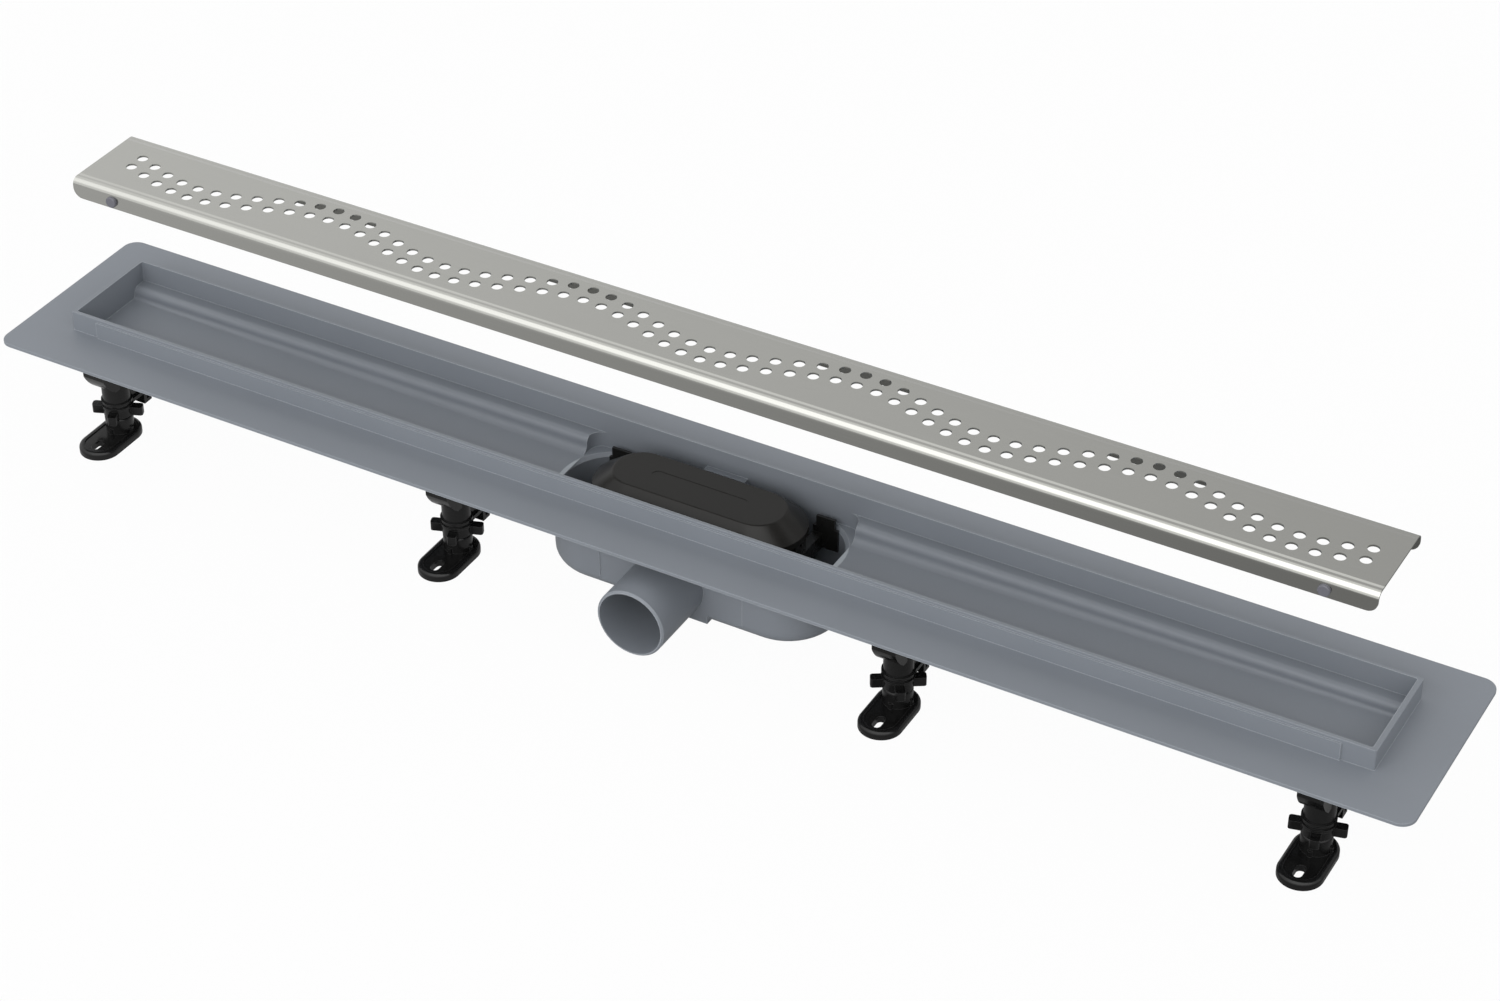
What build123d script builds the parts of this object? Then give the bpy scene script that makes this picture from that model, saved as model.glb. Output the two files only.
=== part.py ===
# Channel drain for a shower floor, with its grate lifted off, in millimetres.
# X runs along the channel, the outlet points to -Y, and the feet stand on Z = 0.
# The origin lies on the ground under the middle of the channel.
from build123d import *
from math import cos, tau
import os

os.makedirs("parts", exist_ok=True)

# Channel: flange, rim and wall
flange_length = 910.0
flange_width = 134.0
flange_thickness = 2.0
flange_corner = 9.0
flange_height = 68.5
edge_round = 0.5
rim_height = 13.2
rim_wall = 2.0
rim_end_wall = 3.0
rim_corner = 1.2
opening_length = 839.0
opening_width = 64.5
rib_reach = 1.05
rib_drop = 2.0
rib_inset = 19.0
wall = 2.0

# Trough under the rim
ledge_drop = 0.5
ledge_width = 5.8
shoulder_radius = 4.6
trough_depth_end = 7.6
trough_depth_sump = 10.6

# Sump and outlet
sump_length = 180.0
sump_depth = 57.5
sump_end_radius = 31.0
sump_mouth_corner = 8.0
sump_floor_radius = 7.5
sump_lip_width = 2.0
mouth_inset = 1.0
saddle_length = 94.0
saddle_rise = 2.5
saddle_recess = 0.6
grate_rest_length = 27.0
grate_rest_reach = 4.0
grate_rest_depth = 8.0
outlet_bore = 40.0
outlet_wall = 1.6
outlet_reach = 78.8
outlet_drop = 36.0
outlet_chamfer = 1.0
outlet_pad_width = 48.0
outlet_pad_depth = 13.0

# Trap insert, its seal and its hood
insert_length = 132.0
insert_width = 49.0
insert_wall = 1.8
insert_top_drop = 9.5
weir_offset = 8.0
weir_clear = 9.0
baffle_offset = 2.0
baffle_clear = 10.0
deck = 1.8
tooth_gap = 2.6
tooth_pitch = 5.2
tooth_height = 4.5
teeth_along = 15
teeth_round_end = 13
port_bore = 30.0
port_wall = 1.8
port_reach = 45.0
seal_length = 7.0
seal_play = 0.1
seal_inset = 1.5
seal_chamfer = 0.8
clip_overhang = 2.0
clip_width = 16.0
clip_thickness = 1.8
clip_offset = 25.6
clip_top_drop = 11.5
clip_bottom_drop = 26.0
clip_tab_width = 12.0
clip_tab_height = 7.0
clip_bridge_width = 6.0
clip_bridge_height = 10.0
hood_length = 135.0
hood_width = 52.0
hood_flat_length = 110.0
hood_flat_width = 34.0
hood_skirt = 4.0
hood_rise = 9.5
hood_wall = 1.8
hood_top_round = 1.6
hood_groove_length = 62.0
hood_groove_width = 7.0
hood_groove_depth = 0.2

# Grate, folded from one sheet, shown lifted off the channel
grate_end_gap = 8.0
grate_side_gap = 2.25
grate_thickness = 1.2
grate_height = 12.2
grate_bend = 4.6
grate_end_round = 6.0
grate_lift = 96.3
hole_diameter = 6.7
hole_pitch = 12.45
hole_margin = 19.0
holes_per_wave = 14
hole_first_crest = 4
wave_height = 9.85
row_gap = 10.9
pattern_x = 2.9
pattern_y = 1.6
stud_inset = 28.5
stud_drop = 7.6
stud_diameter = 7.0
stud_play = 0.3
stud_shank = 4.0
stud_head_diameter = 6.0
stud_head = 1.0
stud_round = 0.8

# Feet: bracket, winged nut, and base with its stem
foot_end_inset = 59.0
foot_pitch_inner = 292.6
foot_row = 33.0
base_length = 46.3
base_width = 26.0
base_thickness = 5.0
base_middle = 10.0
base_edge = 2.4
base_rim = 3.4
base_recess = 0.7
collar_diameter = 17.6
collar_round = 2.0
collar_height = 10.2
stem_diameter = 10.0
stem_length = 44.0
stem_play = 0.3
slot_width = 5.3
slot_length = 10.4
slot_from_axis = 22.6
peg_diameter = 3.0
peg_height = 3.6
peg_forward = 8.6
peg_side = 8.6
nut_diameter = 18.0
nut_height = 5.7
nut_gap = 0.3
wing_reach = 15.8
wing_width = 5.6
wing_count = 4
wing_corner = 1.6
barrel_diameter = 17.4
lip_diameter = 19.4
lip_height = 1.5
lip_gap = 2.0
web_thickness = 15.0
web_front = 19.0
web_front_drop = 18.0
web_bulge = 13.4
web_bulge_drop = 26.8
web_root_drop = 31.0
web_back = 23.5
web_rail = 2.4
web_recess = 1.6
heel_start = 16.6
heel_drop = 7.5
bracket_length = 34.0
bracket_play = 0.4
bracket_plate = 2.6
bracket_corner = 2.0
foot_turns = (23.0, 20.0, 32.5, 14.0, 58.0, 5.0, 72.0, 27.0)

# Heights and widths that follow from the sizes
rim_top = flange_height + rim_height
ledge_height = flange_height - ledge_drop
flange_under = flange_height - flange_thickness
outlet_height = flange_height - outlet_drop
outlet_radius = outlet_bore / 2 + outlet_wall
sump_under = flange_height - sump_depth
sump_floor = sump_under + saddle_rise + wall
sump_width = opening_width + 2 * wall
shelf_height = flange_height - trough_depth_sump
mouth_length = sump_length - 2 * mouth_inset
trough_edge = opening_width / 2 - ledge_width
rim_length = opening_length + 2 * rim_end_wall
rim_width = opening_width + 2 * rim_wall
grate_length = opening_length - 2 * grate_end_gap
grate_width = opening_width - 2 * grate_side_gap
hole_count = int((grate_length - 2 * hole_margin) / hole_pitch) + 1
grate_under = ledge_height + grate_lift
grate_top = grate_under + grate_height
insert_top = flange_height - insert_top_drop
hood_foot = insert_top + tooth_height
hood_shoulder = hood_foot + hood_skirt
hood_top = hood_shoulder + hood_rise
port_radius = port_bore / 2 + port_wall
clip_middle = insert_length / 2 + clip_overhang
nut_under = base_thickness + collar_height + nut_gap
barrel_under = nut_under + nut_height + nut_gap
bracket_under = flange_under - bracket_plate
stem_bore = stem_diameter / 2 + stem_play
web_base = barrel_under - flange_height
web_top = -trough_depth_sump - wall - bracket_play


def level(height):
    """The level plane at a height, with its origin on the channel's middle."""
    return Plane.XY.offset(height)


def across(x):
    """The upright plane across the channel at x, level with the flange's top."""
    return Plane(origin=(x, 0, flange_height), x_dir=(0, 1, 0), z_dir=(1, 0, 0))


def facing_front(y, height, x=0.0):
    """The upright plane that faces -Y at y, with its origin at x and a height."""
    return Plane(origin=(x, y, height), x_dir=(1, 0, 0), z_dir=(0, -1, 0))


def trough_section(x, depth, thickness):
    """One cross-section of the trough's hollow, or of its outside with a thickness."""
    knee = -ledge_drop - shoulder_radius
    fall = depth + knee
    hollow = fall + thickness
    shoulder = shoulder_radius - thickness
    floor_edge = trough_edge - shoulder_radius - fall
    with BuildSketch(across(x)) as section:
        with BuildLine():
            Polyline(
                (trough_edge, knee + shoulder),
                (trough_edge, 0),
                (-trough_edge, 0),
                (-trough_edge, knee + shoulder),
            )
            CenterArc((-trough_edge, knee), shoulder, 0, 90)
            CenterArc((-floor_edge, knee), hollow, 180, 90)
            Line((-floor_edge, knee - hollow), (floor_edge, knee - hollow))
            CenterArc((floor_edge, knee), hollow, 270, 90)
            CenterArc((trough_edge, knee), shoulder, 90, 90)
        make_face()
    return section.sketch.face()


def sump_form(floor, top, grow):
    """The sump between two heights: its hollow, or its outside with a growth."""
    with BuildPart() as form:
        with BuildSketch(level(floor)):
            RectangleRounded(sump_length + 2 * grow, opening_width + 2 * grow, sump_end_radius + grow)
        extrude(amount=top - floor)
        fillet(form.edges().group_by(Axis.Z)[0], sump_floor_radius + grow)
    return form.part


# The sloping lip where the trough's floor falls into the sump's round ends
with BuildPart() as sump_lip:
    with BuildSketch(level(shelf_height)):
        RectangleRounded(
            sump_length + 2 * sump_lip_width,
            opening_width + 2 * sump_lip_width,
            sump_end_radius + sump_lip_width,
        )
    extrude(amount=-sump_lip_width, taper=45)
    with BuildSketch(level(shelf_height)):
        Rectangle(sump_length + 2 * sump_lip_width, opening_width)
    extrude(amount=-sump_lip_width, mode=Mode.INTERSECT)

# Channel body, one moulding: flange, rim, trough, sump and outlet
with BuildPart() as channel_body:
    with BuildSketch(level(flange_under)):
        RectangleRounded(flange_length, flange_width, flange_corner)
    extrude(amount=flange_thickness)
    fillet(channel_body.edges().group_by(Axis.Z)[-1], edge_round)
    with BuildSketch(level(flange_under)):
        Rectangle(rim_length - 2 * rib_inset, rim_width + 2 * rib_reach)
    extrude(amount=rim_top - rib_drop - flange_under)
    with BuildSketch(level(flange_under)):
        RectangleRounded(rim_length, rim_width, rim_corner)
    extrude(amount=rim_top - flange_under)
    fillet(channel_body.edges().group_by(Axis.Z)[-1], edge_round)
    for side in (-1, 1):
        near = trough_section(side * mouth_length / 2, trough_depth_sump, wall)
        far = trough_section(side * (opening_length / 2 + wall), trough_depth_end, wall)
        loft(sections=[near, far])
    add(sump_form(sump_under, flange_under, wall))
    with BuildSketch(level(shelf_height - wall - sump_lip_width)):
        Rectangle(sump_length + 2 * wall, sump_width)
    extrude(amount=flange_under - shelf_height + wall + sump_lip_width)
    with BuildSketch(level(sump_under)):
        Rectangle(saddle_length, sump_width)
    extrude(amount=saddle_rise, mode=Mode.SUBTRACT)
    for side in (-1, 1):
        with BuildSketch(facing_front(side * sump_width / 2, (sump_under + flange_under) / 2)):
            Rectangle(saddle_length, flange_under - sump_under)
        extrude(amount=side * saddle_recess, mode=Mode.SUBTRACT)
    with BuildSketch(level(sump_under)):
        with Locations((0, saddle_recess + (outlet_pad_depth - sump_width) / 2)):
            Rectangle(outlet_pad_width, outlet_pad_depth)
    extrude(amount=sump_floor_radius + wall)
    with BuildSketch(facing_front(saddle_recess - sump_width / 2, outlet_height)):
        Circle(outlet_radius)
    extrude(amount=outlet_reach + saddle_recess - sump_width / 2)
    chamfer(channel_body.edges().filter_by(GeomType.CIRCLE).sort_by(Axis.Y)[0], outlet_chamfer)
    with BuildSketch(level(ledge_height)):
        RectangleRounded(opening_length, opening_width, rim_corner)
    extrude(amount=rim_top - ledge_height, mode=Mode.SUBTRACT)
    for side in (-1, 1):
        near = trough_section(side * mouth_length / 2, trough_depth_sump, 0)
        far = trough_section(side * opening_length / 2, trough_depth_end, 0)
        loft(sections=[near, far], mode=Mode.SUBTRACT)
    add(sump_form(sump_floor, shelf_height, 0), mode=Mode.SUBTRACT)
    add(sump_lip.part, mode=Mode.SUBTRACT)
    with BuildSketch(level(shelf_height)):
        RectangleRounded(mouth_length, opening_width, sump_mouth_corner)
    extrude(amount=ledge_height - shelf_height, mode=Mode.SUBTRACT)
    with BuildSketch(facing_front(outlet_pad_depth - wall - sump_width / 2, outlet_height)):
        Circle(outlet_bore / 2)
    extrude(amount=outlet_reach, mode=Mode.SUBTRACT)
    with BuildSketch(level(ledge_height - grate_rest_depth)):
        with GridLocations(0, opening_width - grate_rest_reach, 1, 2):
            Rectangle(grate_rest_length, grate_rest_reach)
    extrude(amount=grate_rest_depth)
channel_body.part.label = "channel_body"
export_step(channel_body.part, "parts/channel_body.step")

# Grate: one sheet with folded sides and two waving rows of holes
with BuildPart() as grate:
    with BuildSketch(level(grate_under)):
        Rectangle(grate_length, grate_width)
    extrude(amount=grate_height)
    long_edges = grate.edges().filter_by(Axis.X).group_by(Axis.Z)[-1]
    fillet(long_edges, grate_bend)
    with BuildSketch(level(grate_under)):
        Rectangle(grate_length, grate_width - 2 * grate_thickness)
    extrude(amount=grate_height - grate_bend, mode=Mode.SUBTRACT)
    with BuildSketch(level(grate_top - grate_bend)):
        Rectangle(grate_length, grate_width - 2 * grate_bend)
    extrude(amount=grate_bend - grate_thickness, mode=Mode.SUBTRACT)
    for side in (-1, 1):
        bend_middle = (side * (grate_width / 2 - grate_bend), grate_top - grate_bend - flange_height)
        with BuildSketch(across(-grate_length / 2)):
            with Locations(bend_middle):
                Circle(grate_bend - grate_thickness)
        extrude(amount=grate_length, mode=Mode.SUBTRACT)
    fillet(grate.edges().filter_by(Axis.Y).group_by(Axis.Z)[0], grate_end_round)
    first_hole = pattern_x - hole_pitch * (hole_count - 1) / 2
    with BuildSketch(level(grate_top)):
        for index in range(hole_count):
            swing = wave_height * cos(tau * (index - hole_first_crest) / holes_per_wave)
            with Locations((first_hole + index * hole_pitch, pattern_y - swing)):
                with GridLocations(0, row_gap, 1, 2):
                    Circle(hole_diameter / 2)
    extrude(amount=-grate_thickness, mode=Mode.SUBTRACT)
    with BuildSketch(facing_front(0, grate_top - stud_drop)):
        with GridLocations(grate_length - 2 * stud_inset, 0, 2, 1):
            Circle(stud_shank / 2)
    extrude(amount=grate_width, both=True, mode=Mode.SUBTRACT)
grate.part.label = "grate"
export_step(grate.part, "parts/grate.step")

# Spacers in the grate's sides, front pair first
stud_places = [(x, side) for side in (-1, 1) for x in (-1, 1)]
for number, (end, side) in enumerate(stud_places, start=1):
    stud_x = end * (grate_length / 2 - stud_inset)
    skin = side * grate_width / 2
    lining = side * (grate_width / 2 - grate_thickness)
    proud = grate_side_gap - stud_play
    with BuildPart() as spacer:
        with BuildSketch(facing_front(skin, grate_top - stud_drop, stud_x)):
            Circle(stud_diameter / 2)
        extrude(amount=-side * proud)
        fillet(spacer.edges().sort_by(Axis.Y)[0 if side < 0 else -1], stud_round)
        with BuildSketch(facing_front(skin, grate_top - stud_drop, stud_x)):
            Circle(stud_shank / 2)
        extrude(amount=side * grate_thickness)
        with BuildSketch(facing_front(lining, grate_top - stud_drop, stud_x)):
            Circle(stud_head_diameter / 2)
        extrude(amount=side * stud_head)
    spacer.part.label = f"grate_spacer_{number}"
    export_step(spacer.part, f"parts/grate_spacer_{number}.step")

# Trap insert: a cup with a weir and a baffle, a toothed rim, a port and four clips
with BuildPart() as trap_insert:
    inner_length = insert_length - 2 * insert_wall
    inner_width = insert_width - 2 * insert_wall
    with BuildSketch(level(sump_floor)):
        SlotOverall(insert_length, insert_width)
    extrude(amount=insert_wall)
    with BuildSketch(level(sump_floor)):
        SlotOverall(insert_length, insert_width)
        SlotOverall(inner_length, inner_width, mode=Mode.SUBTRACT)
    extrude(amount=hood_foot - sump_floor)
    with BuildSketch(level(insert_top)):
        with GridLocations(tooth_pitch, 0, teeth_along, 1):
            Rectangle(tooth_gap, insert_width + insert_wall)
    extrude(amount=tooth_height, mode=Mode.SUBTRACT)
    for side in (-1, 1):
        with BuildSketch(level(insert_top)):
            with Locations((side * (insert_length - insert_width) / 2, 0)):
                with PolarLocations(insert_width / 2, teeth_round_end, -side * 90, side * 180, endpoint=True):
                    Rectangle(insert_wall * 4, tooth_gap)
        extrude(amount=tooth_height, mode=Mode.SUBTRACT)
    with BuildSketch(level(sump_floor)):
        with Locations((0, -weir_offset)):
            Rectangle(inner_length - insert_wall, insert_wall)
    extrude(amount=insert_top - deck - weir_clear - sump_floor)
    with BuildSketch(level(sump_floor + baffle_clear)):
        with Locations((0, baffle_offset)):
            Rectangle(insert_length - insert_wall, insert_wall)
    extrude(amount=insert_top - sump_floor - baffle_clear)
    with BuildSketch(level(insert_top - deck)):
        SlotOverall(insert_length - insert_wall, insert_width - insert_wall)
        with Locations((0, baffle_offset + insert_width / 2)):
            Rectangle(insert_length, insert_width, mode=Mode.SUBTRACT)
    extrude(amount=deck)
    with BuildSketch(facing_front(insert_wall / 2 - insert_width / 2, outlet_height)):
        Circle(port_radius)
    extrude(amount=port_reach - insert_width / 2)
    with BuildSketch(facing_front(2 * insert_wall - insert_width / 2, outlet_height)):
        Circle(port_bore / 2)
    extrude(amount=port_reach, mode=Mode.SUBTRACT)
    for side in (-1, 1):
        with BuildSketch(facing_front(side * clip_offset, flange_height)):
            with GridLocations(2 * clip_middle, 0, 2, 1):
                with Locations((0, -(clip_top_drop + clip_bottom_drop) / 2)):
                    Rectangle(clip_width, clip_bottom_drop - clip_top_drop)
                with Locations((0, clip_tab_height / 2 - clip_top_drop)):
                    Rectangle(clip_tab_width, clip_tab_height)
        extrude(amount=-side * clip_thickness)
    with BuildSketch(level(flange_height - clip_bottom_drop)):
        with GridLocations(2 * clip_middle - clip_width + clip_bridge_width, 0, 2, 1):
            Rectangle(clip_bridge_width, 2 * clip_offset + clip_thickness)
        SlotOverall(insert_length - insert_wall, insert_width - insert_wall, mode=Mode.SUBTRACT)
    extrude(amount=clip_bridge_height)
trap_insert.part.label = "trap_insert"
export_step(trap_insert.part, "parts/trap_insert.step")

# Seal ring on the insert's port, inside the outlet
with BuildPart() as trap_seal:
    with BuildSketch(facing_front(seal_inset + seal_length - port_reach, outlet_height)):
        Circle(outlet_bore / 2 - seal_play)
        Circle(port_radius, mode=Mode.SUBTRACT)
    extrude(amount=seal_length)
    chamfer(trap_seal.edges().filter_by(GeomType.CIRCLE).group_by(SortBy.RADIUS)[-1], seal_chamfer)
trap_seal.part.label = "trap_seal"
export_step(trap_seal.part, "parts/trap_seal.step")

# Hood over the trap: a flat top with sloping sides, resting on the toothed rim
with BuildPart() as trap_hood:
    with BuildSketch(level(hood_foot)):
        SlotOverall(hood_length, hood_width)
    extrude(amount=hood_skirt)
    with BuildSketch(level(hood_shoulder)):
        SlotOverall(hood_length, hood_width)
    with BuildSketch(level(hood_top)):
        SlotOverall(hood_flat_length, hood_flat_width)
    loft()
    fillet(trap_hood.edges().group_by(Axis.Z)[-1], hood_top_round)
    with BuildSketch(level(hood_foot)):
        SlotOverall(hood_length - 2 * hood_wall, hood_width - 2 * hood_wall)
    extrude(amount=hood_skirt, mode=Mode.SUBTRACT)
    with BuildSketch(level(hood_shoulder)):
        SlotOverall(hood_length - 2 * hood_wall, hood_width - 2 * hood_wall)
    with BuildSketch(level(hood_top - hood_wall)):
        SlotOverall(hood_flat_length, hood_flat_width)
    loft(mode=Mode.SUBTRACT)
    with BuildSketch(level(hood_top - hood_groove_depth)):
        SlotOverall(hood_groove_length, hood_groove_width)
    extrude(amount=hood_groove_depth, mode=Mode.SUBTRACT)
    with BuildSketch(level(hood_foot)):
        SlotOverall(insert_length, insert_width)
        SlotOverall(insert_length - 2 * insert_wall, insert_width - 2 * insert_wall, mode=Mode.SUBTRACT)
    extrude(amount=hood_skirt)
trap_hood.part.label = "trap_hood"
export_step(trap_hood.part, "parts/trap_hood.step")

# Feet, front row first and each row from -X to +X
foot_outer = flange_length / 2 - foot_end_inset
foot_inner = foot_pitch_inner / 2
foot_columns = (-foot_outer, -foot_inner, foot_inner, foot_outer)
foot_places = [(x, side) for side in (-1, 1) for x in foot_columns]
for number, (foot_x, side) in enumerate(foot_places, start=1):

    def foot_plane(height, turn=0.0):
        """The level plane on this foot's axis, its local -Y pointing away from the channel."""
        axis = Plane(origin=(foot_x, side * foot_row, height), x_dir=(-side, 0, 0), z_dir=(0, 0, 1))
        return axis.rotated((0, 0, turn))

    web_plane = Plane(origin=(foot_x, side * foot_row, flange_height), x_dir=(0, -side, 0), z_dir=(-side, 0, 0))

    # Bracket: plate under the flange, barrel with two lips, and a web with a heel behind the nut
    with BuildPart() as foot_bracket:
        plate_back = foot_row - trough_edge - bracket_play
        with BuildSketch(foot_plane(bracket_under)):
            with Locations((0, (plate_back - web_front) / 2)):
                RectangleRounded(bracket_length, plate_back + web_front, bracket_corner)
        extrude(amount=bracket_plate)
        with BuildSketch(web_plane):
            with BuildLine():
                Line((0, -web_root_drop), (-barrel_diameter / 2, -web_root_drop))
                ThreePointArc(
                    (-barrel_diameter / 2, -web_root_drop),
                    (-web_bulge, -web_bulge_drop),
                    (-web_front, -web_front_drop),
                )
                Polyline(
                    (-web_front, -web_front_drop),
                    (-web_front, -flange_thickness),
                    (0, -flange_thickness),
                    (0, -web_root_drop),
                )
            make_face()
        extrude(amount=web_thickness / 2, both=True)
        with BuildSketch(web_plane):
            Polygon(
                (0, web_base),
                (heel_start, web_base),
                (heel_start, web_base - heel_drop),
                (web_back, web_base - heel_drop),
                (web_back, web_top),
                (0, web_top),
                align=None,
            )
        extrude(amount=web_thickness / 2, both=True)
        for flank in (-1, 1):
            with BuildSketch(web_plane.offset(flank * web_thickness / 2)):
                Polygon(
                    (0, web_base + web_rail),
                    (heel_start + web_rail, web_base + web_rail),
                    (heel_start + web_rail, web_base - heel_drop + web_rail),
                    (web_back, web_base - heel_drop + web_rail),
                    (web_back, web_top),
                    (0, web_top),
                    align=None,
                )
            extrude(amount=-flank * web_recess, mode=Mode.SUBTRACT)
        with BuildSketch(foot_plane(barrel_under)):
            Circle(barrel_diameter / 2)
        extrude(amount=bracket_under - barrel_under)
        for lip in range(2):
            with BuildSketch(foot_plane(barrel_under + lip * (lip_height + lip_gap))):
                Circle(lip_diameter / 2)
            extrude(amount=lip_height)
        with BuildSketch(foot_plane(barrel_under)):
            Circle(stem_bore)
        extrude(amount=base_thickness + collar_height + stem_length - barrel_under + nut_gap, mode=Mode.SUBTRACT)
    foot_bracket.part.label = f"foot_bracket_{number}"
    export_step(foot_bracket.part, f"parts/foot_bracket_{number}.step")

    # Winged nut that turns on the stem
    with BuildPart() as foot_nut:
        with BuildSketch(foot_plane(nut_under, foot_turns[number - 1])):
            Circle(nut_diameter / 2)
            with PolarLocations(wing_reach / 2, wing_count):
                RectangleRounded(wing_reach, wing_width, wing_corner)
            Circle(stem_bore, mode=Mode.SUBTRACT)
        extrude(amount=nut_height)
    foot_nut.part.label = f"foot_nut_{number}"
    export_step(foot_nut.part, f"parts/foot_nut_{number}.step")

    # Base with its collar, stem, pegs and screw slot
    with BuildPart() as foot_base:
        with BuildSketch(foot_plane(0)):
            with Locations((0, -base_middle)):
                SlotOverall(base_length, base_width, rotation=90)
        extrude(amount=base_thickness)
        fillet(foot_base.edges().group_by(Axis.Z)[-1], base_edge)
        with BuildSketch(foot_plane(base_thickness)):
            with Locations((0, -base_middle)):
                SlotOverall(base_length - 2 * base_rim, base_width - 2 * base_rim, rotation=90)
        extrude(amount=-base_recess, mode=Mode.SUBTRACT)
        with BuildSketch(foot_plane(base_thickness - base_recess)):
            Circle(collar_diameter / 2)
        extrude(amount=base_recess + collar_height)
        fillet(foot_base.edges().group_by(Axis.Z)[-1], collar_round)
        with BuildSketch(foot_plane(base_thickness + collar_height)):
            Circle(stem_diameter / 2)
        extrude(amount=stem_length)
        with BuildSketch(foot_plane(base_thickness - base_recess)):
            with Locations((0, -peg_forward), (peg_side, 0)):
                Circle(peg_diameter / 2)
        extrude(amount=peg_height)
        with BuildSketch(foot_plane(base_thickness)):
            with Locations((0, -slot_from_axis)):
                SlotOverall(slot_length, slot_width, rotation=90)
        extrude(amount=-base_thickness, mode=Mode.SUBTRACT)
    foot_base.part.label = f"foot_base_{number}"
    export_step(foot_base.part, f"parts/foot_base_{number}.step")
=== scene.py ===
"""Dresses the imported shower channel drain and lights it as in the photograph.

Lengths are in metres, in the CAD's own frame: +X along the channel, -Y the
way the outlet points, +Z up from the ground. Where a name ends in _mm, its
value is in millimetres.
"""

from __future__ import annotations

import logging
import math
from dataclasses import dataclass
from enum import Enum

import bpy
from mathutils import Matrix, Vector

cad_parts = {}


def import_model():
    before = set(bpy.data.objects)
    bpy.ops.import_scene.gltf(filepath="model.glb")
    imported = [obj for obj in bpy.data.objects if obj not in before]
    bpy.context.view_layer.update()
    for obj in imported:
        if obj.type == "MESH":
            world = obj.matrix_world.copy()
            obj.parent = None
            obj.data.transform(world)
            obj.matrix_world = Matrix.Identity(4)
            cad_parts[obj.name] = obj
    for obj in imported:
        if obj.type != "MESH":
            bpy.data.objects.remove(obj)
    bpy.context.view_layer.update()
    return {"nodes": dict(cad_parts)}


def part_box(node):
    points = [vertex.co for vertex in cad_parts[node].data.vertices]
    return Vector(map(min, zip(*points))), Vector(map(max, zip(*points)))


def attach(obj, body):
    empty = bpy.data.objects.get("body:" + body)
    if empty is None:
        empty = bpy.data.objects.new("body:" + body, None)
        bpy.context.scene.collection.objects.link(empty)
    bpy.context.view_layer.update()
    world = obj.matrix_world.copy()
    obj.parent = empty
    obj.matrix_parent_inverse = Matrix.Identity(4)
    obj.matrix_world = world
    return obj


LOG = logging.getLogger("shower_drain")
MM = 0.001
STAGE_SPAN = 60.0
WHITE = "#ffffff"

# A Mix node's colour sockets share their names with its other sockets, so
# they go by number.
MIX_FIRST, MIX_SECOND, MIX_RESULT = 6, 7, 2

Nodes = dict[str, bpy.types.Object]


class Slot(Enum):
    """The material slots, which the finishes fill."""

    CHANNEL = "channel_plastic"
    GRATE = "grate_steel"
    SPACER = "spacer_plastic"
    INSERT = "insert_plastic"
    SEAL = "seal_rubber"
    HOOD = "hood_plastic"
    FOOT = "foot_plastic"


Materials = dict[Slot, bpy.types.Material]


def linear(hex_colour: str) -> tuple[float, float, float, float]:
    """Turns an sRGB hex colour into linear values, by the standard's own curve.

    Args:
        hex_colour: six hexadecimal digits after a hash sign.

    Returns:
        Red, green, blue and an alpha of one.
    """
    channels = [int(hex_colour[i : i + 2], 16) / 255 for i in (1, 3, 5)]
    flat = [c / 12.92 if c <= 0.04045 else ((c + 0.055) / 1.055) ** 2.4 for c in channels]
    return (flat[0], flat[1], flat[2], 1.0)


def numbered(stem: str, count: int) -> list[str]:
    """Lists the names of a repeated part, numbered from one."""
    return [f"{stem}_{number}" for number in range(1, count + 1)]


def add_node(
    tree: bpy.types.NodeTree,
    kind: str,
    inputs: dict[str | int, object] | None = None,
    **settings: object,
) -> bpy.types.Node:
    """Adds a node, with its settings, its constants and its links.

    Args:
        tree: the node tree to add to.
        kind: the node's type name.
        inputs: a constant or an output socket for each input.
        **settings: the node's own properties.

    Returns:
        The new node.
    """
    node = tree.nodes.new(kind)
    for name, value in settings.items():
        setattr(node, name, value)
    for key, value in (inputs or {}).items():
        if isinstance(value, bpy.types.NodeSocket):
            tree.links.new(value, node.inputs[key])
        else:
            node.inputs[key].default_value = value
    return node


def new_material(name: str) -> tuple[bpy.types.Material, bpy.types.NodeTree]:
    """Makes a material with an empty node tree.

    Args:
        name: the material's name.

    Returns:
        The material and its node tree.
    """
    material = bpy.data.materials.new(name)
    material.use_nodes = True
    material.node_tree.nodes.clear()
    return material, material.node_tree


@dataclass(frozen=True)
class Stretch:
    """Two readings between which something changes evenly, and beyond which it stays."""

    start: float
    end: float

    def between(self, first: object, last: object) -> dict[str, object]:
        """Gives the limits of a Map Range node over the stretch.

        Args:
            first: the number or socket that holds up to the start.
            last: the number or socket that holds from the end on.

        Returns:
            The node's inputs by name.
        """
        return {
            "From Min": self.start,
            "From Max": self.end,
            "To Min": first,
            "To Max": last,
        }


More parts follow.
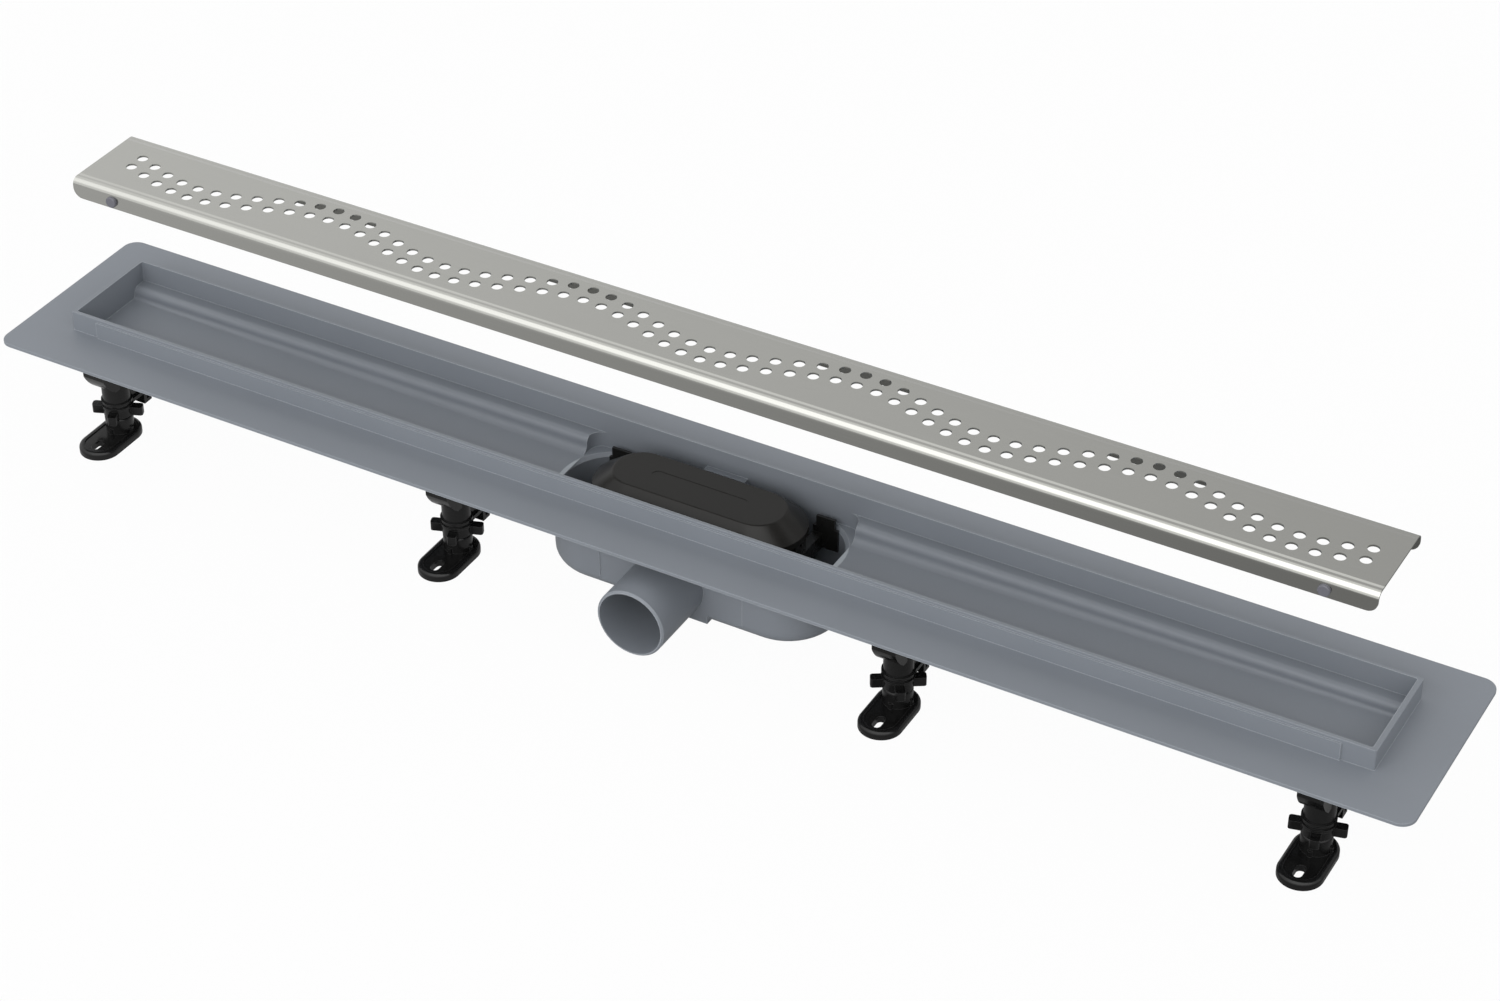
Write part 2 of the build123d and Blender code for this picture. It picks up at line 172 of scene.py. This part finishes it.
@dataclass(frozen=True)
class MouldedPlastic:
    """A moulded plastic or rubber: an even colour under the fine grain of its tool.

    The eye sees a soft, broad sheen that breaks up a little where the melt
    flowed and cooled unevenly, a very slight orange peel, and a painted
    highlight: a paler colour painted along the edges, in place of the light
    that a rounded edge catches. A real tool's grain is a tenth of a
    millimetre and doesn't show at this distance, so it is drawn coarser.

    Attributes:
        name: the material's name.
        colour: its main colour.
        flow_colour: its colour where the melt cooled last.
        edge_highlight_colour: the colour of the painted highlight along an edge.
        edge_highlight_mm: how far from an edge the painted highlight reaches.
        roughness: its mean roughness.
        roughness_swing: how far the flow takes it up and down from there.
        flow_mm: the size of the patches that the flow leaves.
        grain_mm: the size of the grain.
        grain_depth_mm: the depth of the grain.
        ior: its index of refraction.
        specular: its specular level.
        flow_detail: the noise detail of the flow.
        flow_breakup: the noise roughness of the flow.
        flow_range: the noise values at which the roughness is least and most.
        grain_detail: the noise detail of the grain.
        grain_breakup: the noise roughness of the grain.
        grain_strength: how strongly the grain turns the light.
        edge_samples: how many rays look for an edge.
        highlight_fade: the cosines between the true and the rounded face at which the
        painted highlight starts and is complete.
    """

    name: str
    colour: str
    flow_colour: str
    edge_highlight_colour: str
    edge_highlight_mm: float
    roughness: float
    roughness_swing: float
    flow_mm: float
    grain_mm: float
    grain_depth_mm: float
    ior: float = 1.49
    specular: float = 0.5
    flow_detail: float = 3.0
    flow_breakup: float = 0.55
    flow_range: Stretch = Stretch(0.3, 0.7)
    grain_detail: float = 2.0
    grain_breakup: float = 0.5
    grain_strength: float = 0.6
    edge_samples: int = 6
    highlight_fade: Stretch = Stretch(0.97, 0.86)

    def painted_edge_highlight(self, tree: bpy.types.NodeTree) -> bpy.types.NodeSocket:
        """Finds the edges for the painted highlight, where the rounded face turns away from the
        true one.

        Args:
            tree: the node tree to add to.

        Returns:
            A socket that is zero on a flat face and one on an edge.
        """
        rounded = add_node(
            tree, "ShaderNodeBevel", {"Radius": self.edge_highlight_mm * MM}, samples=self.edge_samples
        )
        true = add_node(tree, "ShaderNodeNewGeometry")
        agreement = add_node(
            tree,
            "ShaderNodeVectorMath",
            {0: rounded.outputs["Normal"], 1: true.outputs["Normal"]},
            operation="DOT_PRODUCT",
        )
        highlight_mask = add_node(
            tree,
            "ShaderNodeMapRange",
            {"Value": agreement.outputs["Value"], **self.highlight_fade.between(0.0, 1.0)},
        )
        return highlight_mask.outputs["Result"]

    def make(self) -> bpy.types.Material:
        """Builds the material.

        Returns:
            The material.
        """
        material, tree = new_material(self.name)
        place = add_node(tree, "ShaderNodeTexCoord").outputs["Object"]
        flow = add_node(
            tree,
            "ShaderNodeTexNoise",
            {
                "Vector": place,
                "Scale": 1 / (self.flow_mm * MM),
                "Detail": self.flow_detail,
                "Roughness": self.flow_breakup,
            },
        )
        tint = add_node(
            tree,
            "ShaderNodeMix",
            {
                "Factor": flow.outputs["Fac"],
                MIX_FIRST: linear(self.colour),
                MIX_SECOND: linear(self.flow_colour),
            },
            data_type="RGBA",
        )
        # Paints a pale highlight along the edges, in place of the light that a rounded edge
        # catches.
        highlighted_tint = add_node(
            tree,
            "ShaderNodeMix",
            {
                "Factor": self.painted_edge_highlight(tree),
                MIX_FIRST: tint.outputs[MIX_RESULT],
                MIX_SECOND: linear(self.edge_highlight_colour),
            },
            data_type="RGBA",
        )
        grain = add_node(
            tree,
            "ShaderNodeTexNoise",
            {
                "Vector": place,
                "Scale": 1 / (self.grain_mm * MM),
                "Detail": self.grain_detail,
                "Roughness": self.grain_breakup,
            },
        )
        bump = add_node(
            tree,
            "ShaderNodeBump",
            {
                "Height": grain.outputs["Fac"],
                "Strength": self.grain_strength,
                "Distance": self.grain_depth_mm * MM,
            },
        )
        smoothest = self.roughness - self.roughness_swing
        roughest = self.roughness + self.roughness_swing
        sheen = add_node(
            tree,
            "ShaderNodeMapRange",
            {"Value": flow.outputs["Fac"], **self.flow_range.between(smoothest, roughest)},
        )
        shader = add_node(
            tree,
            "ShaderNodeBsdfPrincipled",
            {
                "Base Color": highlighted_tint.outputs[MIX_RESULT],
                "Roughness": sheen.outputs["Result"],
                "IOR": self.ior,
                "Specular IOR Level": self.specular,
                "Normal": bump.outputs["Normal"],
            },
        )
        add_node(tree, "ShaderNodeOutputMaterial", {"Surface": shader.outputs["BSDF"]})
        return material


@dataclass(frozen=True)
class BrushedStainless:
    """Stainless steel sheet, brushed along its length before it was folded.

    The eye sees grey metal whose reflections are drawn out across the brush
    lines, with single scratches that catch the light. Lines finer than half
    a millimetre don't show at this distance, so they are drawn that coarse.
    The back of the sheet, inside the fold, kept its dull mill finish, and
    the press left a shallow step along each bend, which shows as a pale line.

    Attributes:
        name: the material's name.
        colour: its main colour.
        worn_colour: its colour in the deeper lines.
        roughness: its mean roughness.
        roughness_swing: how far the lines take it up and down from there.
        line_mm: the distance between brush lines.
        line_length_mm: the length of a line.
        line_depth_mm: the depth of a line.
        stretch: how far the lines draw a reflection out.
        mill_colour: the back's colour.
        mill_roughness: the back's roughness.
        bend_axis_mm: the axis of the bend on the far side; the near one mirrors it.
        bend_middle_mm: the radius of the middle of the sheet in the bend.
        press_mm: where the press's step starts and ends, from the middle line.
        press_depth_mm: the depth of that step.
        line_detail: the noise detail of the lines.
        line_breakup: the noise roughness of the lines.
        line_range: the noise values at which the roughness is least and most.
        line_strength: how strongly a line turns the light.
        skin_mm: half the depth over which the outer side passes into the back.
    """

    name: str
    colour: str
    worn_colour: str
    roughness: float
    roughness_swing: float
    line_mm: float
    line_length_mm: float
    line_depth_mm: float
    stretch: float
    mill_colour: str
    mill_roughness: float
    bend_axis_mm: tuple[float, float, float]
    bend_middle_mm: float
    press_mm: tuple[float, float]
    press_depth_mm: float
    line_detail: float = 4.0
    line_breakup: float = 0.65
    line_range: Stretch = Stretch(0.25, 0.75)
    line_strength: float = 0.3
    skin_mm: float = 0.2

    def outer_side(
        self, tree: bpy.types.NodeTree, mirrored: bpy.types.NodeSocket
    ) -> bpy.types.NodeSocket:
        """Tells the sheet's outer side from its back by the distance to the bend's axis.

        Args:
            tree: the node tree to add to.
            mirrored: the object coordinates without their signs, so that one
                bend stands for both.

        Returns:
            A socket that is one on the outer side and zero on the back.
        """
        axis = tuple(v * MM for v in self.bend_axis_mm)
        reach = add_node(
            tree, "ShaderNodeVectorMath", {0: mirrored, 1: axis}, operation="SUBTRACT"
        )
        beyond = add_node(
            tree,
            "ShaderNodeVectorMath",
            {0: reach.outputs["Vector"], 1: (0.0, 0.0, 0.0)},
            operation="MAXIMUM",
        )
        section = add_node(
            tree,
            "ShaderNodeVectorMath",
            {0: beyond.outputs["Vector"], 1: (0.0, 1.0, 1.0)},
            operation="MULTIPLY",
        )
        radius = add_node(
            tree, "ShaderNodeVectorMath", {0: section.outputs["Vector"]}, operation="LENGTH"
        )
        skin = Stretch(
            (self.bend_middle_mm - self.skin_mm) * MM, (self.bend_middle_mm + self.skin_mm) * MM
        )
        side = add_node(
            tree,
            "ShaderNodeMapRange",
            {"Value": radius.outputs["Value"], **skin.between(0.0, 1.0)},
        )
        return side.outputs["Result"]

    def press_mark(
        self, tree: bpy.types.NodeTree, mirrored: bpy.types.NodeSocket
    ) -> bpy.types.NodeSocket:
        """Steps the surface down along each bend, as the press did.

        Args:
            tree: the node tree to add to.
            mirrored: the object coordinates without their signs.

        Returns:
            The normal that the step gives.
        """
        off_middle = add_node(tree, "ShaderNodeSeparateXYZ", {"Vector": mirrored})
        start, end = self.press_mm
        step = add_node(
            tree,
            "ShaderNodeMapRange",
            {
                "Value": off_middle.outputs["Y"],
                **Stretch(start * MM, end * MM).between(1.0, 0.0),
            },
        )
        mark = add_node(
            tree,
            "ShaderNodeBump",
            {"Height": step.outputs["Result"], "Distance": self.press_depth_mm * MM},
        )
        return mark.outputs["Normal"]

    def make(self) -> bpy.types.Material:
        """Builds the material.

        Returns:
            The material.
        """
        material, tree = new_material(self.name)
        place = add_node(tree, "ShaderNodeTexCoord").outputs["Object"]
        mirrored = add_node(
            tree, "ShaderNodeVectorMath", {0: place}, operation="ABSOLUTE"
        ).outputs["Vector"]
        outer = self.outer_side(tree, mirrored)
        along, across = 1 / (self.line_length_mm * MM), 1 / (self.line_mm * MM)
        drawn = add_node(
            tree, "ShaderNodeMapping", {"Vector": place, "Scale": (along, across, across)}
        )
        lines = add_node(
            tree,
            "ShaderNodeTexNoise",
            {
                "Vector": drawn.outputs["Vector"],
                "Scale": 1.0,
                "Detail": self.line_detail,
                "Roughness": self.line_breakup,
            },
        )
        tint = add_node(
            tree,
            "ShaderNodeMix",
            {
                "Factor": lines.outputs["Fac"],
                MIX_FIRST: linear(self.worn_colour),
                MIX_SECOND: linear(self.colour),
            },
            data_type="RGBA",
        )
        skin = add_node(
            tree,
            "ShaderNodeMix",
            {
                "Factor": outer,
                MIX_FIRST: linear(self.mill_colour),
                MIX_SECOND: tint.outputs[MIX_RESULT],
            },
            data_type="RGBA",
        )
        smoothest = self.roughness - self.roughness_swing
        roughest = self.roughness + self.roughness_swing
        satin = add_node(
            tree,
            "ShaderNodeMapRange",
            {"Value": lines.outputs["Fac"], **self.line_range.between(smoothest, roughest)},
        )
        polish = add_node(
            tree,
            "ShaderNodeMix",
            {"Factor": outer, "A": self.mill_roughness, "B": satin.outputs["Result"]},
        )
        bump = add_node(
            tree,
            "ShaderNodeBump",
            {
                "Height": lines.outputs["Fac"],
                "Strength": self.line_strength,
                "Distance": self.line_depth_mm * MM,
                "Normal": self.press_mark(tree, mirrored),
            },
        )
        shader = add_node(
            tree,
            "ShaderNodeBsdfPrincipled",
            {
                "Base Color": skin.outputs[MIX_RESULT],
                "Metallic": 1.0,
                "Roughness": polish.outputs["Result"],
                "Anisotropic": self.stretch,
                "Normal": bump.outputs["Normal"],
            },
        )
        add_node(tree, "ShaderNodeOutputMaterial", {"Surface": shader.outputs["BSDF"]})
        return material


FINISHES: dict[Slot, MouldedPlastic | BrushedStainless] = {
    # Polypropylene, moulded: a satin grey that scatters a lamp widely, with a pale highlight
    # painted along its edges.
    Slot.CHANNEL: MouldedPlastic(
        name="moulded_grey_polypropylene",
        colour="#7b8087",
        flow_colour="#80858c",
        edge_highlight_colour="#aab0b6",
        edge_highlight_mm=0.65,
        roughness=0.46,
        roughness_swing=0.05,
        flow_mm=60.0,
        grain_mm=0.9,
        grain_depth_mm=0.03,
    ),
    # Stainless sheet, brushed: long bright streaks along the folds.
    Slot.GRATE: BrushedStainless(
        name="brushed_stainless_steel",
        colour="#c6c6c1",
        worn_colour="#bbbbb6",
        roughness=0.16,
        roughness_swing=0.04,
        line_mm=0.5,
        line_length_mm=45.0,
        line_depth_mm=0.004,
        stretch=0.4,
        mill_colour="#9a9a94",
        mill_roughness=0.5,
        bend_axis_mm=(0.0, 25.4, 171.9),
        bend_middle_mm=4.0,
        press_mm=(22.4, 24.4),
        press_depth_mm=0.55,
    ),
    # Nylon, moulded: a darker grey with a closer sheen than the channel's, and a highlight
    # painted along its edges.
    Slot.SPACER: MouldedPlastic(
        name="moulded_grey_nylon",
        colour="#62626a",
        flow_colour="#6a6a72",
        edge_highlight_colour="#7c7c84",
        edge_highlight_mm=0.4,
        roughness=0.4,
        roughness_swing=0.05,
        flow_mm=8.0,
        grain_mm=0.5,
        grain_depth_mm=0.02,
    ),
    # ABS, moulded and black: glossy enough for the teeth and clips to glint, with a highlight
    # painted along its edges.
    Slot.INSERT: MouldedPlastic(
        name="moulded_black_abs",
        colour="#191918",
        flow_colour="#1f1f1e",
        edge_highlight_colour="#333332",
        edge_highlight_mm=0.4,
        roughness=0.28,
        roughness_swing=0.06,
        flow_mm=30.0,
        grain_mm=0.8,
        grain_depth_mm=0.03,
        ior=1.52,
    ),
    # Nitrile rubber, moulded: matt, with hardly a highlight of its own and a faint one painted
    # along its edges.
    Slot.SEAL: MouldedPlastic(
        name="nitrile_rubber",
        colour="#101010",
        flow_colour="#151515",
        edge_highlight_colour="#1c1c1c",
        edge_highlight_mm=0.3,
        roughness=0.65,
        roughness_swing=0.06,
        flow_mm=6.0,
        grain_mm=0.4,
        grain_depth_mm=0.03,
        ior=1.52,
    ),
    # ABS, moulded in a fine tool: warm and dark, its slopes silver in the light, with a
    # highlight painted along its edges.
    Slot.HOOD: MouldedPlastic(
        name="moulded_anthracite_abs",
        colour="#191816",
        flow_colour="#1e1d1b",
        edge_highlight_colour="#2c2b29",
        edge_highlight_mm=0.08,
        roughness=0.32,
        roughness_swing=0.05,
        flow_mm=40.0,
        grain_mm=0.7,
        grain_depth_mm=0.03,
        ior=1.52,
        specular=0.25,
    ),
    # Polyamide, moulded: black, with a tight gloss on the rims and a pale highlight painted
    # along its edges.
    Slot.FOOT: MouldedPlastic(
        name="moulded_black_polyamide",
        colour="#121212",
        flow_colour="#171717",
        edge_highlight_colour="#3d3d3d",
        edge_highlight_mm=0.5,
        roughness=0.2,
        roughness_swing=0.06,
        flow_mm=18.0,
        grain_mm=1.1,
        grain_depth_mm=0.05,
        ior=1.53,
        specular=0.3,
    ),
}


def deselect_all() -> None:
    """Leaves edit mode and clears the selection."""
    if bpy.context.mode != "OBJECT":
        bpy.ops.object.mode_set(mode="OBJECT")
    bpy.ops.object.select_all(action="DESELECT")


def settle(piece: bpy.types.Object) -> None:
    """Puts a piece's place into its mesh, so that its object sits at the origin.

    Args:
        piece: the piece, which stays selected and active.
    """
    deselect_all()
    piece.select_set(True)
    bpy.context.view_layer.objects.active = piece
    bpy.ops.object.transform_apply(location=True, rotation=True, scale=True)


def clad(nodes: Nodes, names: list[str], material: bpy.types.Material) -> list[str]:
    """Gives CAD nodes their finish.

    Args:
        nodes: the CAD nodes by name.
        names: the nodes to dress.
        material: the material that all of them take.

    Returns:
        The same names, for the log.
    """
    for name in names:
        slots = nodes[name].data.materials
        slots.clear()
        slots.append(material)
    return names


@dataclass
class Channel:
    """The grey moulding: flange, rim, trough, sump and outlet."""

    node: str = "channel_body"

    def dress(self, nodes: Nodes, materials: Materials) -> list[str]:
        """Gives the moulding its finish and returns its name."""
        return clad(nodes, [self.node], materials[Slot.CHANNEL])


@dataclass
class Grate:
    """The folded steel sheet and the studs in its sides."""

    sheet: str = "grate"
    stud: str = "grate_spacer"
    stud_count: int = 4

    def dress(self, nodes: Nodes, materials: Materials) -> list[str]:
        """Gives the sheet and its studs their finishes and returns their names."""
        studs = clad(nodes, numbered(self.stud, self.stud_count), materials[Slot.SPACER])
        return clad(nodes, [self.sheet], materials[Slot.GRATE]) + studs


@dataclass
class Trap:
    """The parts in the sump: the cup with its clips, its seal and the hood."""

    cup: str = "trap_insert"
    seal: str = "trap_seal"
    hood: str = "trap_hood"

    def dress(self, nodes: Nodes, materials: Materials) -> list[str]:
        """Gives the cup, the seal and the hood their finishes.

        Args:
            nodes: the CAD nodes by name.
            materials: the finishes by slot.

        Returns:
            The names of the dressed pieces.
        """
        cup = clad(nodes, [self.cup], materials[Slot.INSERT])
        seal = clad(nodes, [self.seal], materials[Slot.SEAL])
        hood = clad(nodes, [self.hood], materials[Slot.HOOD])
        return cup + seal + hood


@dataclass
class ScrewFeet:
    """The eight screw feet: brackets, winged nuts and bases with their stems.

    Attributes:
        kinds: the parts that each foot has.
        count: the number of feet.
        stem_radius: the radius of a stem without its thread.
        crest: how far the thread stands out.
        lead: how far the thread climbs in a turn.
        flank: the radius of the three-sided ridge before its crest is flattened.
        flank_count: the number of the ridge's sides.
        turns: the number of turns on a stem.
        steps: the number of steps in a turn.
        above_collar: the height at which the thread starts.
        smooth_below: the angle below which the thread's faces are shaded smooth.
    """

    kinds: tuple[str, ...] = ("foot_bracket", "foot_nut", "foot_base")
    count: int = 8
    stem_radius: float = 5.0 * MM
    crest: float = 0.22 * MM
    lead: float = 3.0 * MM
    flank: float = 0.9 * MM
    flank_count: int = 3
    turns: int = 13
    steps: int = 28
    above_collar: float = 17.0 * MM
    smooth_below: float = math.radians(35)

    def thread_ridge(self) -> bpy.types.Object:
        """Sweeps one three-sided ridge up a helix round the Z axis.

        Returns:
            The ridge, to be copied onto each stem.
        """
        deselect_all()
        bpy.ops.mesh.primitive_circle_add(
            vertices=self.flank_count,
            radius=self.flank,
            fill_type="NOTHING",
            location=(self.stem_radius, 0.0, 0.0),
            rotation=(math.pi / 2, math.pi / 2, 0.0),
        )
        ridge = bpy.context.object
        settle(ridge)
        for vertex in ridge.data.vertices:
            vertex.co.x = min(vertex.co.x, self.stem_radius + self.crest)
        screw = ridge.modifiers.new("helix", "SCREW")
        screw.axis = "Z"
        screw.screw_offset = self.lead
        screw.iterations = self.turns
        screw.steps = self.steps
        screw.render_steps = self.steps
        screw.use_merge_vertices = False
        bpy.ops.object.modifier_apply(modifier=screw.name)
        bpy.ops.object.mode_set(mode="EDIT")
        bpy.ops.mesh.select_all(action="SELECT")
        bpy.ops.mesh.fill_holes(sides=self.flank_count)
        bpy.ops.mesh.select_all(action="SELECT")
        bpy.ops.mesh.normals_make_consistent(inside=False)
        bpy.ops.object.mode_set(mode="OBJECT")
        bpy.ops.object.shade_smooth_by_angle(angle=self.smooth_below)
        return ridge

    def add_threads(self, material: bpy.types.Material) -> list[str]:
        """Puts a copy of the thread on each stem.

        Args:
            material: the bases' own material.

        Returns:
            The names of the threads.
        """
        ridge = self.thread_ridge()
        names = []
        for number in range(1, self.count + 1):
            low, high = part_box(f"foot_nut_{number}")
            thread = bpy.data.objects.new(f"stem_thread_{number}", ridge.data.copy())
            bpy.context.scene.collection.objects.link(thread)
            thread.location = ((low.x + high.x) / 2, (low.y + high.y) / 2, self.above_collar)
            settle(thread)
            thread.data.materials.clear()
            thread.data.materials.append(material)
            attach(thread, f"foot_base_{number}")
            names.append(thread.name)
        bpy.data.objects.remove(ridge)
        return names

    def dress(self, nodes: Nodes, materials: Materials) -> list[str]:
        """Gives the feet their finish and their threads.

        Args:
            nodes: the CAD nodes by name.
            materials: the finishes by slot.

        Returns:
            The names of the dressed nodes and of the threads.
        """
        names = [name for kind in self.kinds for name in numbered(kind, self.count)]
        clad(nodes, names, materials[Slot.FOOT])
        return names + self.add_threads(materials[Slot.FOOT])


@dataclass(frozen=True)
class Viewpoint:
    """The photograph's camera: its place, its axes and its lens."""

    place: tuple[float, float, float] = (0.82434, -1.40220, 1.25429)
    right: tuple[float, float, float] = (0.87099, 0.49129, -0.00026)
    up: tuple[float, float, float] = (-0.28928, 0.51329, 0.80799)
    lens_mm: float = 84.636
    sensor_mm: float = 36.0

    def make(self) -> None:
        """Makes the scene's camera."""
        right, up = Vector(self.right).normalized(), Vector(self.up).normalized()
        back = right.cross(up).normalized()
        turn = Matrix((right, back.cross(right), back)).transposed().to_4x4()
        data = bpy.data.cameras.new("photograph")
        data.lens = self.lens_mm
        data.sensor_width = self.sensor_mm
        data.clip_end = STAGE_SPAN
        camera = bpy.data.objects.new("photograph", data)
        camera.matrix_world = Matrix.Translation(self.place) @ turn
        bpy.context.scene.collection.objects.link(camera)
        bpy.context.scene.camera = camera


@dataclass(frozen=True)
class Lamp:
    """A soft rectangular lamp, which reflections don't show."""

    name: str
    place: tuple[float, float, float]
    aim: tuple[float, float, float]
    width: float
    height: float
    watts: float

    def make(self) -> None:
        """Makes the lamp."""
        data = bpy.data.lights.new(self.name, "AREA")
        data.shape = "RECTANGLE"
        data.size = self.width
        data.size_y = self.height
        data.energy = self.watts
        lamp = bpy.data.objects.new(self.name, data)
        towards = Vector(self.aim) - Vector(self.place)
        lamp.rotation_euler = towards.to_track_quat("-Z", "Y").to_euler()
        lamp.location = self.place
        lamp.visible_glossy = False
        bpy.context.scene.collection.objects.link(lamp)


@dataclass(frozen=True)
class Studio:
    """White surroundings, a floor that is a veil of shadow, and two soft lamps.

    Gloss and metal reflect a light box of their own. It is even overhead,
    darker at the back, and brightest in front, above the lamps.

    Attributes:
        backdrop: the strength of the surroundings to the camera, where one is white.
        ambient: their strength as a light.
        back_left: the box's strength at the back, on the left.
        back_right: the same on the right.
        overhead: its strength overhead.
        front_left: its strength in front, on the left.
        front_right: the same on the right.
        sides: the X of a direction where the left ends and the right starts.
        back_edge: the Y of a direction where the back ends and overhead starts.
        front_edge: the Y of a direction where that ends and the front starts.
        front_rise: the Z of a direction where the front turns bright.
        below_left: the strength of the floor in a reflection, on the left.
        below_right: the same on the right.
        floor_sides: the X on the floor where the left ends and the right starts.
        floor_clear: how much of the surroundings the floor lets the camera see.
        floor_colour: the floor's colour.
        floor_drop: how far the floor lies under the feet.
        lamps: the lamps.
    """

    backdrop: float = 1.0
    ambient: float = 0.93
    back_left: float = 0.82
    back_right: float = 0.52
    overhead: float = 1.0
    front_left: float = 1.4
    front_right: float = 2.3
    sides: Stretch = Stretch(-0.6, -0.2)
    back_edge: Stretch = Stretch(0.56, 0.46)
    front_edge: Stretch = Stretch(0.05, -0.1)
    front_rise: Stretch = Stretch(0.36, 0.52)
    below_left: float = 0.58
    below_right: float = 0.25
    floor_sides: Stretch = Stretch(-0.6, 0.3)
    floor_clear: float = 0.97
    floor_colour: str = "#c8c8c8"
    floor_drop: float = 0.2 * MM
    lamps: tuple[Lamp, ...] = (
        Lamp(
            name="key_above_front",
            place=(0.0, -2.0, 1.45),
            aim=(0.0, 0.0, 0.08),
            width=2.4,
            height=0.9,
            watts=17.0,
        ),
        Lamp(
            name="fill_low_front",
            place=(0.0, -2.4, 0.8),
            aim=(0.0, 0.0, 0.08),
            width=3.0,
            height=0.9,
            watts=9.0,
        ),
    )

    def light_box(self, tree: bpy.types.NodeTree) -> bpy.types.NodeSocket:
        """Grades the light that reflections show by its direction.

        Args:
            tree: the node tree of the surroundings.

        Returns:
            The strength of the light, as a socket.
        """
        aim = add_node(
            tree,
            "ShaderNodeSeparateXYZ",
            {"Vector": add_node(tree, "ShaderNodeTexCoord").outputs["Generated"]},
        )
        back = add_node(
            tree,
            "ShaderNodeMapRange",
            {"Value": aim.outputs["X"], **self.sides.between(self.back_left, self.back_right)},
        )
        above = add_node(
            tree,
            "ShaderNodeMapRange",
            {
                "Value": aim.outputs["Y"],
                **self.back_edge.between(back.outputs["Result"], self.overhead),
            },
        )
        front = add_node(
            tree,
            "ShaderNodeMapRange",
            {"Value": aim.outputs["X"], **self.sides.between(self.front_left, self.front_right)},
        )
        rising = add_node(
            tree,
            "ShaderNodeMapRange",
            {
                "Value": aim.outputs["Z"],
                **self.front_rise.between(self.overhead, front.outputs["Result"]),
            },
        )
        strength = add_node(
            tree,
            "ShaderNodeMapRange",
            {
                "Value": aim.outputs["Y"],
                **self.front_edge.between(above.outputs["Result"], rising.outputs["Result"]),
            },
        )
        return strength.outputs["Result"]

    def make_world(self) -> None:
        """Makes the surroundings: white to the camera, softer as a light."""
        scene = bpy.context.scene
        scene.world = bpy.data.worlds.new("studio")
        scene.world.use_nodes = True
        tree = scene.world.node_tree
        tree.nodes.clear()
        rays = add_node(tree, "ShaderNodeLightPath")
        white = linear(WHITE)
        light, mirrored, seen = (
            add_node(tree, "ShaderNodeBackground", {"Color": white, "Strength": strength})
            for strength in (self.ambient, self.light_box(tree), self.backdrop)
        )
        lit = add_node(
            tree,
            "ShaderNodeMixShader",
            {
                "Fac": rays.outputs["Is Glossy Ray"],
                1: light.outputs["Background"],
                2: mirrored.outputs["Background"],
            },
        )
        whole = add_node(
            tree,
            "ShaderNodeMixShader",
            {
                "Fac": rays.outputs["Is Camera Ray"],
                1: lit.outputs["Shader"],
                2: seen.outputs["Background"],
            },
        )
        add_node(tree, "ShaderNodeOutputWorld", {"Surface": whole.outputs["Shader"]})

    def floor_material(self) -> bpy.types.Material:
        """Builds the floor's material, which is nearly clear to the camera.

        Returns:
            The material.
        """
        material, tree = new_material("white_floor")
        rays = add_node(tree, "ShaderNodeLightPath")
        shade = add_node(tree, "ShaderNodeBsdfDiffuse", {"Color": linear(self.floor_colour)})
        clear = add_node(tree, "ShaderNodeBsdfTransparent", {"Color": linear(WHITE)})
        spot = add_node(
            tree,
            "ShaderNodeSeparateXYZ",
            {"Vector": add_node(tree, "ShaderNodeTexCoord").outputs["Object"]},
        )
        dim = add_node(
            tree,
            "ShaderNodeMapRange",
            {
                "Value": spot.outputs["X"],
                **self.floor_sides.between(self.below_left, self.below_right),
            },
        )
        mirrored = add_node(
            tree,
            "ShaderNodeEmission",
            {"Color": linear(WHITE), "Strength": dim.outputs["Result"]},
        )
        unseen = add_node(
            tree,
            "ShaderNodeMixShader",
            {
                "Fac": rays.outputs["Is Glossy Ray"],
                1: shade.outputs["BSDF"],
                2: mirrored.outputs["Emission"],
            },
        )
        clearness = add_node(
            tree,
            "ShaderNodeMath",
            {0: rays.outputs["Is Camera Ray"], 1: self.floor_clear},
            operation="MULTIPLY",
        )
        whole = add_node(
            tree,
            "ShaderNodeMixShader",
            {
                "Fac": clearness.outputs["Value"],
                1: unseen.outputs["Shader"],
                2: clear.outputs["BSDF"],
            },
        )
        add_node(tree, "ShaderNodeOutputMaterial", {"Surface": whole.outputs["Shader"]})
        return material

    def make_floor(self) -> None:
        """Makes the floor: a faint veil of shadow over the white surroundings."""
        deselect_all()
        bpy.ops.mesh.primitive_plane_add(size=STAGE_SPAN, location=(0.0, 0.0, -self.floor_drop))
        floor = bpy.context.object
        floor.name = "floor"
        settle(floor)
        floor.data.materials.append(self.floor_material())

    def make(self) -> None:
        """Makes the surroundings, the floor and the lamps."""
        self.make_world()
        self.make_floor()
        for lamp in self.lamps:
            lamp.make()
        bpy.context.scene.view_settings.view_transform = "Standard"


def main() -> None:
    """Builds the studio, then dresses each sub-assembly and reports its pieces."""
    logging.basicConfig(level=logging.INFO, format="%(name)s: %(message)s")
    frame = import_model()
    Viewpoint().make()
    Studio().make()
    materials = {slot: finish.make() for slot, finish in FINISHES.items()}
    for assembly in (Channel(), Grate(), Trap(), ScrewFeet()):
        for piece in assembly.dress(frame["nodes"], materials):
            LOG.info("dressed %s", piece)


if __name__ == "__main__":
    main()
